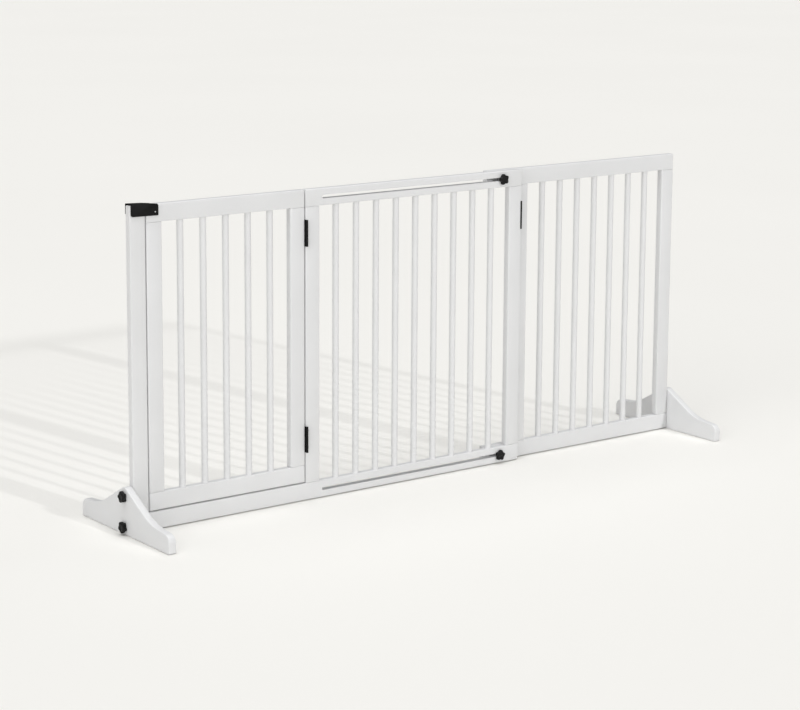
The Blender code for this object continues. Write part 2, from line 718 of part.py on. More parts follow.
def build_knobs():
    foot_reach = FOOT_THICKNESS + 2 * SEAM + FOOT_STUD_REACH
    left = -FOOT_THICKNESS - 2 * SEAM
    right = EXTENSION_RIGHT + FOOT_THICKNESS + 2 * SEAM
    levels = (("lower", FOOT_BOLT_LOW, SLOT_LOW_Z), ("upper", FOOT_BOLT_HIGH, SLOT_HIGH_Z))
    clamp_reach = SEAM + EXTENSION_FRONT + CLAMP_STUD_REACH
    for level, foot_z, slot_z in levels:
        seat = (left, PANEL_CENTRE_Y, foot_z)
        add_knob(f"left_foot_{level}_knob", seat, (-1, 0, 0), foot_reach, "frame")
        seat = (right, EXTENSION_CENTRE_Y, foot_z)
        add_knob(f"right_foot_{level}_knob", seat, (1, 0, 0), foot_reach, "sliding_panel")
        seat = (CLAMP_BOLT_X, -SEAM, slot_z)
        add_knob(f"{level}_clamp_knob", seat, (0, -1, 0), clamp_reach, "sliding_panel")


def clear_scene():
    for item in list(bpy.data.objects):
        bpy.data.objects.remove(item, do_unlink=True)


pivots = {}
clear_scene()
paint = make_material("white_paint", (0.86, 0.86, 0.85), 0.45)
plastic = make_material("black_plastic", (0.012, 0.012, 0.013), 0.55)
steel = make_material("black_steel", (0.015, 0.015, 0.016), 0.45, 0.6)
zinc = make_material("zinc_steel", (0.62, 0.62, 0.64), 0.35, 1.0)

add_empty("gate", Vector((0, 0, 0)))
add_empty("frame", Vector((0, 0, 0)), "gate")
add_empty("door_pivot", HINGE_AXIS, "frame")
add_empty("latch_pivot", LATCH_AXIS, "door_pivot")
add_empty("sliding_panel", Vector((EXTENSION_LEFT, EXTENSION_FRONT, 0)), "frame")
build_frame()
build_door()
add_hinge("upper_hinge", UPPER_HINGE_TOP - HINGE_HEIGHT)
add_hinge("lower_hinge", LOWER_HINGE_BOTTOM)
add_latch()
build_extension()
build_knobs()
bpy.data.objects["gate"].matrix_world = Matrix.Translation(GATE_ORIGIN)
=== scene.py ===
"""White wooden pet gate on a pale floor: routed boards, round bars, star knobs, hinges and latch.

Everything is in metres, with the floor at z = 0. Boards, bars and hardware take their places
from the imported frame; only finishes and finer shapes are added here.
"""

import json
import math

import bmesh
import bpy
from mathutils import Matrix, Vector


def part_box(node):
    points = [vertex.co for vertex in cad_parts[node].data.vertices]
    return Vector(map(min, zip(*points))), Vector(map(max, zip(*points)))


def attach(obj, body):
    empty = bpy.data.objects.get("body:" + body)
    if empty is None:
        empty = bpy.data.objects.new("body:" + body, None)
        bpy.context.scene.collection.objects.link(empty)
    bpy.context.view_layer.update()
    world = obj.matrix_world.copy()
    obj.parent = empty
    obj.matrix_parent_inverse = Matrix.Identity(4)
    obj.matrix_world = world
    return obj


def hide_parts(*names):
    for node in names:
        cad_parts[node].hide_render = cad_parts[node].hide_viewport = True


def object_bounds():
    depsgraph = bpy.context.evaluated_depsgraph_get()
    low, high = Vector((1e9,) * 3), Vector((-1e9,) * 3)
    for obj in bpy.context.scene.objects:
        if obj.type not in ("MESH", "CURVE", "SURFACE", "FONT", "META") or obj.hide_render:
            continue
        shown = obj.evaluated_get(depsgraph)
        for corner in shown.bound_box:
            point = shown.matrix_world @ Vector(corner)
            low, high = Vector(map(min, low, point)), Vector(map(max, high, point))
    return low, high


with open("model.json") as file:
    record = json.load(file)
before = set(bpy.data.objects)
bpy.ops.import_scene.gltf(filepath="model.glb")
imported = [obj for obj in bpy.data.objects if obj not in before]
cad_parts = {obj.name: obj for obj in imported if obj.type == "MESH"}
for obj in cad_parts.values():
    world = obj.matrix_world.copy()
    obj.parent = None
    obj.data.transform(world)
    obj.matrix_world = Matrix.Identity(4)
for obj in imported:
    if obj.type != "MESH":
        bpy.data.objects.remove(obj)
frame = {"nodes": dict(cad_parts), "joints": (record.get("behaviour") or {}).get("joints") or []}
cad_low, cad_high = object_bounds()

# Tolerances for telling places apart
SAME_PLACE = 1e-4
SAME_FACE = 1e-5
ON_CUT = 1e-6
WELD = 1e-7

# Angles in degrees above which an edge between two faces stays crisp
CRISP_BOARD = 28
CRISP_LATCH = 32
CRISP_BAR = 40
CRISP_KNOB = 50

# Routing and seams of the boards; the two angles pick the edges that are rounded or eased
ROUNDOVER = 0.0028
ROUNDOVER_STEPS = 4
ROUTED_ABOVE = 45
SEAM_ARRIS = 0.0011
EASED_ABOVE = 35
TRIM_SKIN = 0.00001

# Bars
BAR_SIDES = 40
BAR_EMBED = 0.0025
BEAD_HEIGHT = 0.0012
BEAD_SPREAD = 0.0005

# Slots in the middle panel's rails
SLOT_WIDTH = 0.008
SLOT_STEPS = 12
SLOT_EASING = 0.0006
SLOT_SPARE = 0.0048

# Feet
FOOT_APEX_RADIUS = 0.017
FOOT_FLANK_FALL = 0.570
FOOT_FLANK_RUN = 0.106
FOOT_FLANK_RADIUS = 0.140
FOOT_END_HEIGHT = 0.0400
FOOT_END_RADIUS = 0.018
FOOT_HEEL_RADIUS = 0.005
FOOT_STEPS = 18
FOOT_ROUNDOVER_STEPS = 5

# Star knobs: the profile is (distance in from the rim, height over the seat), turns are in degrees
KNOB_RADIUS = 0.0116
KNOB_LOBE = 0.0015
KNOB_LOBES = 5
KNOB_LOBE_FADE = 0.0065
KNOB_POINTS = 90
KNOB_SOCKET_RADIUS = 0.0032
KNOB_SOCKET_DEPTH = 0.0043
KNOB_PROFILE = (
    (0.0019, 0.0000), (0.0010, 0.0003), (0.0004, 0.0010), (0.0000, 0.0022), (0.0000, 0.0060),
    (0.0001, 0.0072), (0.0006, 0.0081), (0.0013, 0.0088), (0.0023, 0.0093), (0.0038, 0.0095),
    (0.0053, 0.0095), (0.0060, 0.0093), (0.0065, 0.0089), (0.0074, 0.0086), (0.0105, 0.0086),
)
KNOB_TURNS = {
    "left_foot_lower_knob": 36, "left_foot_upper_knob": 16, "lower_clamp_knob": 10,
    "upper_clamp_knob": 31, "right_foot_lower_knob": 24, "right_foot_upper_knob": 51,
}

# Hinges
HINGE_SEAM = 0.0003
HINGE_LEAF = 0.0007
HINGE_BARREL = 0.0030
HINGE_PIN = 0.0015
HINGE_BORE = 0.0018
HINGE_LEAF_DEPTH = 0.0145
HINGE_KNUCKLES = 3
HINGE_CLEARANCE = 0.0003
HINGE_SIDES = 32
PIN_CENTRE = 0.0002
STEEL_ARRIS = 0.00025
ARRIS_BELLY = 0.3

# Latch: its angles are in degrees, its rivet's profile is (share of radius, share of half length)
LATCH_SHEET = 0.0015
LATCH_TOE_RADIUS = 0.005
LATCH_HEEL_RADIUS = 0.0015
LATCH_NOSE_RADIUS = 0.005
LATCH_LOWER_EDGE_RISE = 0.0011
LATCH_WEB_FALL = 0.0016
LATCH_WEB_BACK_FALL = 0.0020
LATCH_NOSE_FALL = 0.0032
LATCH_WEB_PAST_POST = 0.0005
LATCH_BACK_CHEEK_RISE = 0.0049
LATCH_FOLD_RADIUS = 0.0012
LATCH_FOLD_STEPS = 4
LATCH_ARRIS = 0.00035
LATCH_EASED_ABOVE = 40
LATCH_SHORTEST_FOLD = 0.02
LATCH_BORE = 0.0020
LATCH_CORNER_STEPS = 10
LATCH_WELD = 0.000005
LATCH_FLAT_WITHIN = 1
RIVET_SIDES = 24
RIVET_PROFILE = ((0.3, 1.0), (0.75, 0.985), (0.95, 0.96), (1.0, 0.93))

# Edge guard
GUARD_SHEET = 0.0008
GUARD_CORNER = 0.0007
GUARD_INNER_CORNER = 0.0001
GUARD_CORNER_STEPS = 6

# Camera: angles in degrees, focal length and shift in the unit of the image's width
CAMERA_PLACE = (-3.1068, -4.0389, 1.3871)
CAMERA_YAW = 36.949
CAMERA_PITCH = 9.679
CAMERA_ROLL = 0.351
CAMERA_FOCAL = 2228.5
IMAGE_WIDTH = 800
CAMERA_SHIFT = -96
SENSOR_WIDTH = 36.0
CLIP_START = 0.05
CLIP_END = 500

# Floor and light: spreads in degrees
FLOOR_SIZE = 120.0
SKY_COLOUR = (0.91, 0.90, 0.87, 1.0)
SKY_LEVEL = 0.11
KEY_POWER = 0.92
KEY_PLACE = (0.48, -3.0, 1.46)
KEY_SPREAD = 1.8
LEFT_POWER = 1.10
LEFT_PLACE = (-3.5, -1.5, 1.9)
LEFT_SPREAD = 50.0
OVERHEAD_POWER = 2.12
OVERHEAD_PLACE = (0.0, 0.0, 4.0)
OVERHEAD_SPREAD = 60.0


# ---------------------------------------------------------------------------- finishes

def new_finish(name, colour, roughness, metallic=0.0):
    """A material and its shader, with even values that a finish can then vary."""
    material = bpy.data.materials.new(name)
    material.use_nodes = True
    shader = material.node_tree.nodes["Principled BSDF"]
    shader.inputs["Base Color"].default_value = (*colour, 1.0)
    shader.inputs["Roughness"].default_value = roughness
    shader.inputs["Metallic"].default_value = metallic
    return material, shader


def add_noise(tree, scale, detail, stretch=(1, 1, 1)):
    """Noise on the piece's own coordinates, drawn out along its grain where it has one."""
    place = tree.nodes.new("ShaderNodeTexCoord")
    mapping = tree.nodes.new("ShaderNodeMapping")
    mapping.inputs["Scale"].default_value = stretch
    noise = tree.nodes.new("ShaderNodeTexNoise")
    noise.inputs["Scale"].default_value = scale
    noise.inputs["Detail"].default_value = detail
    tree.links.new(place.outputs["Object"], mapping.inputs["Vector"])
    tree.links.new(mapping.outputs["Vector"], noise.inputs["Vector"])
    return noise.outputs["Fac"]


def add_range(tree, source, low, high, start=0.3, end=0.7):
    """Spread a noise over a range of values."""
    spread = tree.nodes.new("ShaderNodeMapRange")
    spread.inputs["From Min"].default_value = start
    spread.inputs["From Max"].default_value = end
    spread.inputs["To Min"].default_value = low
    spread.inputs["To Max"].default_value = high
    tree.links.new(source, spread.inputs["Value"])
    return spread.outputs["Result"]


def add_tint(tree, shader, noise, dark, light):
    """Let a noise drift the base colour between two shades."""
    mix = tree.nodes.new("ShaderNodeMix")
    mix.data_type = "RGBA"
    mix.inputs["A"].default_value = (*dark, 1.0)
    mix.inputs["B"].default_value = (*light, 1.0)
    tree.links.new(add_range(tree, noise, 0.0, 1.0), mix.inputs["Factor"])
    tree.links.new(mix.outputs["Result"], shader.inputs["Base Color"])


def add_sheen(tree, shader, noise, glossy, dull):
    """Let a noise drift the roughness between two values."""
    tree.links.new(add_range(tree, noise, glossy, dull), shader.inputs["Roughness"])


def add_bumps(tree, shader, layers):
    """Stack fine reliefs, each (height source, strength, depth in metres)."""
    normal = None
    for source, strength, depth in layers:
        bump = tree.nodes.new("ShaderNodeBump")
        bump.inputs["Strength"].default_value = strength
        bump.inputs["Distance"].default_value = depth
        tree.links.new(source, bump.inputs["Height"])
        if normal:
            tree.links.new(normal, bump.inputs["Normal"])
        normal = bump.outputs["Normal"]
    tree.links.new(normal, shader.inputs["Normal"])


def painted_wood(name, grain):
    """Sprayed satin paint over wood whose grain just shows through along one direction."""
    material, shader = new_finish(name, (0.80, 0.80, 0.80), 0.42)
    tree = material.node_tree
    clouds = add_noise(tree, scale=7.0, detail=2.0)
    streaks = add_noise(tree, scale=260.0, detail=4.0, stretch=grain)
    spray = add_noise(tree, scale=1100.0, detail=2.0)
    add_tint(tree, shader, clouds, dark=(0.742, 0.745, 0.752), light=(0.772, 0.775, 0.782))
    add_sheen(tree, shader, streaks, glossy=0.36, dull=0.48)
    add_bumps(tree, shader, [(streaks, 0.20, 0.0002), (spray, 0.12, 0.00008)])
    return material


def moulded_plastic():
    """Black plastic with the fine grain of its mould."""
    material, shader = new_finish("black_plastic_grain", (0.004, 0.004, 0.004), 0.5)
    shader.inputs["Specular IOR Level"].default_value = 0.22
    tree = material.node_tree
    grain = add_noise(tree, scale=2200.0, detail=3.0)
    wear = add_noise(tree, scale=120.0, detail=3.0)
    add_tint(tree, shader, wear, dark=(0.003, 0.003, 0.003), light=(0.007, 0.007, 0.007))
    add_sheen(tree, shader, wear, glossy=0.42, dull=0.58)
    add_bumps(tree, shader, [(grain, 0.35, 0.00008)])
    return material


def powder_coat():
    """Black powder coat with its slight orange peel."""
    material, shader = new_finish("black_powder_coat", (0.004, 0.004, 0.004), 0.45)
    shader.inputs["Specular IOR Level"].default_value = 0.16
    tree = material.node_tree
    grain = add_noise(tree, scale=1500.0, detail=4.0)
    patches = add_noise(tree, scale=60.0, detail=2.0)
    add_tint(tree, shader, patches, dark=(0.003, 0.003, 0.003), light=(0.006, 0.006, 0.006))
    add_sheen(tree, shader, grain, glossy=0.40, dull=0.52)
    add_bumps(tree, shader, [(grain, 0.30, 0.0001)])
    return material


def zinc_plate():
    """Zinc plated steel, mottled and a little uneven."""
    material, shader = new_finish("zinc_plated_steel", (0.60, 0.60, 0.62), 0.32, metallic=1.0)
    tree = material.node_tree
    mottle = add_noise(tree, scale=900.0, detail=3.0)
    add_tint(tree, shader, mottle, dark=(0.50, 0.51, 0.53), light=(0.70, 0.70, 0.70))
    add_sheen(tree, shader, mottle, glossy=0.25, dull=0.42)
    add_bumps(tree, shader, [(mottle, 0.15, 0.00005)])
    return material


def floor_finish():
    """A matt, warm white floor with a barely visible drift in its tone."""
    material, shader = new_finish("pale_floor", (0.90, 0.89, 0.86), 0.9)
    shader.inputs["Specular IOR Level"].default_value = 0.1
    tree = material.node_tree
    drift = add_noise(tree, scale=0.6, detail=2.0)
    add_tint(tree, shader, drift, dark=(0.895, 0.886, 0.856), light=(0.905, 0.896, 0.866))
    return material


rail_paint = painted_wood("white_paint_on_rails", (0.06, 1.0, 1.0))
upright_paint = painted_wood("white_paint_on_uprights", (1.0, 1.0, 0.06))
foot_paint = painted_wood("white_paint_on_feet", (1.0, 0.06, 1.0))
knob_plastic = moulded_plastic()
black_steel = powder_coat()
zinc = zinc_plate()


# ---------------------------------------------------------------------------- mesh helpers

def to_object(name, mesh, material, crisp_above=CRISP_BOARD):
    """Turn a bmesh into a shaded object at the origin."""
    data = bpy.data.meshes.new(name)
    mesh.to_mesh(data)
    mesh.free()
    data.materials.clear()
    data.materials.append(material)
    data.shade_smooth()
    data.set_sharp_from_angle(angle=math.radians(crisp_above))
    item = bpy.data.objects.new(name, data)
    bpy.context.scene.collection.objects.link(item)
    return item


def fit_to_gate(item, body, slot, *nodes):
    """Attach a piece to its moving body and hide the nodes that it stands for; the finish slot is not
    used.
    """
    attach(item, body)
    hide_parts(*nodes)
    return item


def cut(item, solid, name):
    """Take a solid away from an object and keep the result as its plain mesh."""
    tool = to_object(name, solid, item.data.materials[0])
    modifier = item.modifiers.new(name, "BOOLEAN")
    modifier.operation = "DIFFERENCE"
    modifier.solver = "EXACT"
    modifier.object = tool
    graph = bpy.context.evaluated_depsgraph_get()
    result = bpy.data.meshes.new_from_object(item.evaluated_get(graph))
    item.modifiers.clear()
    item.data = result
    bpy.data.objects.remove(tool)


def round_edges(mesh, edges, width, segments=2):
    """Round some edges of a mesh, or take off their arrises."""
    bmesh.ops.bevel(
        mesh, geom=edges, offset=width, offset_type="OFFSET", segments=segments, profile=0.5,
        affect="EDGES", clamp_overlap=True,
    )


def arc(centre, radius, start, end, steps):
    """Points along an arc, its two ends among them."""
    return [
        Vector((
            centre[0] + radius * math.cos(start + (end - start) * i / steps),
            centre[1] + radius * math.sin(start + (end - start) * i / steps),
        ))
        for i in range(steps + 1)
    ]


def circle(centre, radius, sides):
    """Points round a circle, each of them once."""
    return arc(centre, radius, 0, 2 * math.pi, sides)[:-1]


def fillet(corners, steps):
    """Round each corner of a closed outline. A corner is (point, radius)."""
    outline = []
    count = len(corners)
    for index, (point, radius) in enumerate(corners):
        if radius == 0:
            outline.append(Vector(point))
            continue
        before = (Vector(corners[index - 1][0]) - Vector(point)).normalized()
        after = (Vector(corners[(index + 1) % count][0]) - Vector(point)).normalized()
        half = before.angle(after) / 2
        centre = Vector(point) + (before + after).normalized() * radius / math.sin(half)
        first = Vector(point) + before * radius / math.tan(half) - centre
        last = Vector(point) + after * radius / math.tan(half) - centre
        start = math.atan2(first.y, first.x)
        sweep = math.remainder(math.atan2(last.y, last.x) - start, 2 * math.pi)
        outline += arc(centre, radius, start, start + sweep, steps)
    return outline


def inset(outline, amount):
    """Move a closed outline inwards, by no more than twice the amount at a sharp corner."""
    result = []
    count = len(outline)
    for i, point in enumerate(outline):
        before = (point - outline[i - 1]).normalized()
        after = (outline[(i + 1) % count] - point).normalized()
        tangent = (before + after).normalized()
        stretch = 1 / max(0.5, math.cos(before.angle(after) / 2))
        result.append(point + Vector((-tangent.y, tangent.x)) * amount * stretch)
    return result


def loft(rings, place):
    """A closed solid through equal rings of points, each turned into space by 'place'."""
    mesh = bmesh.new()
    loops = [[mesh.verts.new(place(point, level)) for point in ring] for ring, level in rings]
    for lower, upper in zip(loops, loops[1:]):
        for i in range(len(lower)):
            j = (i + 1) % len(lower)
            mesh.faces.new((lower[i], lower[j], upper[j], upper[i]))
    mesh.faces.new(loops[0])
    mesh.faces.new(loops[-1])
    bmesh.ops.recalc_face_normals(mesh, faces=mesh.faces)
    return mesh


def along_y(point, y):
    """Place a front view's point at a depth."""
    return Vector((point.x, y, point.y))


# ---------------------------------------------------------------------------- boards

def routed_frame(xs, zs, wood, front, back):
    """A flat frame on a grid of lines, solid where wood[row][column] is 1, with every outer edge
    rounded as a router leaves it after the boards are joined."""
    mesh = bmesh.new()
    corner = {}

    def vertex(i, y, k):
        key = (i, y, k)
        if key not in corner:
            corner[key] = mesh.verts.new((xs[i], y, zs[k]))
        return corner[key]

    columns = len(xs) - 1
    rows = len(zs) - 1

    def solid(i, k):
        return 0 <= i < columns and 0 <= k < rows and wood[k][i]

    for k in range(rows):
        for i in range(columns):
            if not solid(i, k):
                continue
            for y in (front, back):
                mesh.faces.new([
                    vertex(i, y, k), vertex(i + 1, y, k), vertex(i + 1, y, k + 1), vertex(i, y, k + 1),
                ])
            sides = (
                (solid(i, k - 1), (i, k), (i + 1, k)),
                (solid(i + 1, k), (i + 1, k), (i + 1, k + 1)),
                (solid(i, k + 1), (i + 1, k + 1), (i, k + 1)),
                (solid(i - 1, k), (i, k + 1), (i, k)),
            )
            for covered, a, b in sides:
                if not covered:
                    mesh.faces.new([
                        vertex(a[0], front, a[1]), vertex(b[0], front, b[1]),
                        vertex(b[0], back, b[1]), vertex(a[0], back, a[1]),
                    ])
    bmesh.ops.recalc_face_normals(mesh, faces=mesh.faces)
    outer = [edge for edge in mesh.edges if edge.calc_face_angle_signed(0.0) > math.radians(ROUTED_ABOVE)]
    round_edges(mesh, outer, ROUNDOVER, ROUNDOVER_STEPS)
    return mesh


def cut_board(panel, low, high):
    """The part of a joined frame inside a box, with the fresh joint faces eased a little."""
    board = panel.copy()
    extent_low = Vector([min(v.co[a] for v in board.verts) for a in range(3)])
    extent_high = Vector([max(v.co[a] for v in board.verts) for a in range(3)])
    joints = []
    for axis in (0, 2):
        ends = ((-1, low[axis], extent_low[axis]), (1, high[axis], extent_high[axis]))
        for side, limit, edge in ends:
            if abs(limit - edge) < SAME_PLACE:
                continue
            normal = Vector((0, 0, 0))
            normal[axis] = side
            at = Vector((0, 0, 0))
            at[axis] = limit - side * TRIM_SKIN
            bmesh.ops.bisect_plane(
                board, geom=board.verts[:] + board.edges[:] + board.faces[:], dist=WELD,
                plane_co=at, plane_no=normal, clear_outer=True,
            )
            open_edges = [e for e in board.edges if e.is_boundary]
            bmesh.ops.holes_fill(board, edges=open_edges, sides=0)
            joints.append((axis, at[axis]))
    bmesh.ops.dissolve_degenerate(board, dist=WELD, edges=board.edges)
    bmesh.ops.recalc_face_normals(board, faces=board.faces)
    eased = []
    for edge in board.edges:
        on_joint = any(all(abs(v.co[axis] - at) < ON_CUT for v in edge.verts) for axis, at in joints)
        if on_joint and edge.is_manifold and edge.calc_face_angle(0.0) > math.radians(EASED_ABOVE):
            eased.append(edge)
    round_edges(board, eased, SEAM_ARRIS)
    return board


def board_piece(panel, node, body, material):
    """One board of a joined frame, in the place of its node."""
    low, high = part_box(node)
    item = to_object(node + "_board", cut_board(panel, low, high), material)
    return fit_to_gate(item, body, "white_paint", node)


def cut_slot(item, node, left, right):
    """Rout the long clamp slot right through a rail, with its rims eased on both faces."""
    low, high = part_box(node)
    middle = (low.z + high.z) / 2
    levels = (
        (low.y - SLOT_EASING, 2 * SLOT_EASING), (low.y, SLOT_EASING), (low.y + SLOT_EASING, 0.0),
        (high.y - SLOT_EASING, 0.0), (high.y, SLOT_EASING), (high.y + SLOT_EASING, 2 * SLOT_EASING),
    )
    rings = []
    for level, flare in levels:
        radius = SLOT_WIDTH / 2 + flare
        ring = arc((right, middle), radius, -math.pi / 2, math.pi / 2, SLOT_STEPS)
        ring += arc((left, middle), radius, math.pi / 2, 3 * math.pi / 2, SLOT_STEPS)
        rings.append((ring, level))
    cut(item, loft(rings, along_y), "slot")
    item.data.set_sharp_from_angle(angle=math.radians(CRISP_BOARD))


def build_fixed_boards():
    """The bottom rail, the post and the middle panel's boards, cut from one flat frame."""
    sill_low, sill_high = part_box("bottom_rail")
    post_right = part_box("end_post")[1].x
    rail_low, rail_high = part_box("middle_top_rail")
    left_low, left_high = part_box("middle_left_stile")
    right_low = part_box("middle_right_stile")[0]
    xs = [sill_low.x, post_right, left_low.x, left_high.x, right_low.x, sill_high.x]
    zs = [sill_low.z, sill_high.z, rail_low.z, rail_high.z]
    wood = ((1, 1, 1, 1, 1), (1, 0, 1, 0, 1), (1, 0, 1, 1, 1))
    panel = routed_frame(xs, zs, wood, sill_low.y, sill_high.y)
    sill = board_piece(panel, "bottom_rail", "frame", rail_paint)
    top = board_piece(panel, "middle_top_rail", "frame", rail_paint)
    for node in ("end_post", "middle_left_stile", "middle_right_stile"):
        board_piece(panel, node, "frame", upright_paint)
    panel.free()
    slot_left, slot_right = slot_ends()
    cut_slot(sill, "bottom_rail", slot_left, slot_right)
    cut_slot(top, "middle_top_rail", slot_left, slot_right)


def slot_ends():
    """The centres of a slot's round ends: the clamp bolt at rest, and where its travel ends."""
    slide = next(joint for joint in frame["joints"] if joint["name"] == "panel_slide")
    low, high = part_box("upper_clamp_stud")
    bolt = (low.x + high.x) / 2
    travel = min(slide["range_m"])
    return bolt + travel - SLOT_SPARE, bolt


def build_panel_boards(body, top, bottom, left, right):
    """A closed frame of four boards, whose left stile may stand in from the ends of the rails."""
    top_low, top_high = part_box(top)
    bottom_low, bottom_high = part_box(bottom)
    left_low, left_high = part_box(left)
    right_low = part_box(right)[0]
    xs = [top_low.x, left_low.x, left_high.x, right_low.x, top_high.x]
    zs = [bottom_low.z, bottom_high.z, top_low.z, top_high.z]
    wood = [[1, 1, 1, 1], [0, 1, 0, 1], [1, 1, 1, 1]]
    if left_low.x - top_low.x < SAME_PLACE:
        del xs[1]
        wood = [[1, 1, 1], [1, 0, 1], [1, 1, 1]]
    panel = routed_frame(xs, zs, wood, top_low.y, top_high.y)
    for node in (top, bottom):
        board_piece(panel, node, body, rail_paint)
    for node in (left, right):
        board_piece(panel, node, body, upright_paint)
    panel.free()


# ---------------------------------------------------------------------------- bars

def bar_row_tree():
    """Evenly spaced round bars, each with a small bead of paint where it meets its rails."""
    tree = bpy.data.node_groups.new("round_bar_row", "GeometryNodeTree")
    face = tree.interface
    face.new_socket("Geometry", in_out="OUTPUT", socket_type="NodeSocketGeometry")
    face.new_socket("Bars", in_out="INPUT", socket_type="NodeSocketInt")
    face.new_socket("First bar", in_out="INPUT", socket_type="NodeSocketVector")
    face.new_socket("Pitch", in_out="INPUT", socket_type="NodeSocketVector")
    for name in ("Radius", "Length", "Embedded"):
        face.new_socket(name, in_out="INPUT", socket_type="NodeSocketFloat")
    face.new_socket("Paint", in_out="INPUT", socket_type="NodeSocketMaterial")

    def node(kind, **values):
        item = tree.nodes.new(kind)
        for key, value in values.items():
            item.inputs[key].default_value = value
        return item

    def join(source, target):
        tree.links.new(source, target)

    def math_of(operation, a, b):
        item = tree.nodes.new("ShaderNodeMath")
        item.operation = operation
        for socket, value in zip(item.inputs, (a, b)):
            if isinstance(value, float):
                socket.default_value = value
            else:
                join(value, socket)
        return item.outputs["Value"]

    given = tree.nodes.new("NodeGroupInput")
    row = tree.nodes.new("GeometryNodeMeshLine")
    row.mode = "OFFSET"
    join(given.outputs["Bars"], row.inputs["Count"])
    join(given.outputs["First bar"], row.inputs["Start Location"])
    join(given.outputs["Pitch"], row.inputs["Offset"])

    embedded = math_of("MULTIPLY", given.outputs["Embedded"], 2.0)
    whole = math_of("ADD", given.outputs["Length"], embedded)
    bar = node("GeometryNodeMeshCylinder", Vertices=BAR_SIDES)
    join(given.outputs["Radius"], bar.inputs["Radius"])
    join(whole, bar.inputs["Depth"])

    wide = math_of("ADD", given.outputs["Radius"], BEAD_SPREAD)
    reach = math_of("SUBTRACT", math_of("DIVIDE", given.outputs["Length"], 2.0), BEAD_HEIGHT / 2)
    stack = tree.nodes.new("GeometryNodeJoinGeometry")
    join(bar.outputs["Mesh"], stack.inputs["Geometry"])
    for side in (1.0, -1.0):
        bead = node("GeometryNodeMeshCone", Vertices=BAR_SIDES, Depth=BEAD_HEIGHT)
        narrow_end, wide_end = "Radius Bottom", "Radius Top"
        if side < 0:
            narrow_end, wide_end = wide_end, narrow_end
        join(given.outputs["Radius"], bead.inputs[narrow_end])
        join(wide, bead.inputs[wide_end])
        centre = math_of("ADD", math_of("MULTIPLY", reach, side), -BEAD_HEIGHT / 2)
        up = tree.nodes.new("ShaderNodeCombineXYZ")
        join(centre, up.inputs["Z"])
        shift = tree.nodes.new("GeometryNodeTransform")
        join(bead.outputs["Mesh"], shift.inputs["Geometry"])
        join(up.outputs["Vector"], shift.inputs["Translation"])
        join(shift.outputs["Geometry"], stack.inputs["Geometry"])

    copies = tree.nodes.new("GeometryNodeInstanceOnPoints")
    join(row.outputs["Mesh"], copies.inputs["Points"])
    join(stack.outputs["Geometry"], copies.inputs["Instance"])
    real = tree.nodes.new("GeometryNodeRealizeInstances")
    join(copies.outputs["Instances"], real.inputs["Geometry"])
    finish = tree.nodes.new("GeometryNodeSetMaterial")
    join(real.outputs["Geometry"], finish.inputs["Geometry"])
    join(given.outputs["Paint"], finish.inputs["Material"])
    result = tree.nodes.new("NodeGroupOutput")
    join(finish.outputs["Geometry"], result.inputs["Geometry"])
    return tree


def grown(tree, name, values):
    """Run a node tree with the given inputs and keep the result as a plain mesh object."""
    seed = bpy.data.objects.new(name, bpy.data.meshes.new(name + "_seed"))
    bpy.context.scene.collection.objects.link(seed)
    modifier = seed.modifiers.new("tree", "NODES")
    modifier.node_group = tree
    for item in tree.interface.items_tree:
        if item.item_type == "SOCKET" and item.in_out == "INPUT":
            modifier[item.identifier] = values[item.name]
    graph = bpy.context.evaluated_depsgraph_get()
    data = bpy.data.meshes.new_from_object(seed.evaluated_get(graph))
    seed.modifiers.clear()
    seed.data = data
    data.shade_smooth()
    data.set_sharp_from_angle(angle=math.radians(CRISP_BAR))
    return seed


def build_bars(tree, group, count, body, below, above):
    """All the bars of one panel, standing between the board below and the board above."""
    nodes = [f"{group}_bar_{number}" for number in range(1, count + 1)]
    boxes = [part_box(node) for node in nodes]
    centres = [(low + high) / 2 for low, high in boxes]
    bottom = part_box(below)[1].z
    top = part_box(above)[0].z
    first = Vector((centres[0].x, centres[0].y, (bottom + top) / 2))
    pitch = (centres[-1].x - centres[0].x) / (count - 1)
    radius = (boxes[0][1].y - boxes[0][0].y) / 2
    item = grown(tree, group + "_round_bars", {
        "Bars": count, "First bar": first, "Pitch": Vector((pitch, 0, 0)),
        "Radius": radius, "Length": top - bottom, "Embedded": BAR_EMBED, "Paint": upright_paint,
    })
    fit_to_gate(item, body, "white_paint", *nodes)


# ---------------------------------------------------------------------------- feet

def foot_outline(half_length, apex_height):
    """Side view of a foot, centred: a low apex, hollow flanks and rounded toes."""
    flank_height = apex_height - FOOT_FLANK_FALL * FOOT_FLANK_RUN
    right = [
        ((half_length, 0.0), FOOT_HEEL_RADIUS),
        ((half_length, FOOT_END_HEIGHT), FOOT_END_RADIUS),
        ((FOOT_FLANK_RUN, flank_height), FOOT_FLANK_RADIUS),
    ]
    left = [((-point[0], point[1]), radius) for point, radius in reversed(right)]
    return fillet(right + [((0.0, apex_height), FOOT_APEX_RADIUS)] + left, FOOT_STEPS)


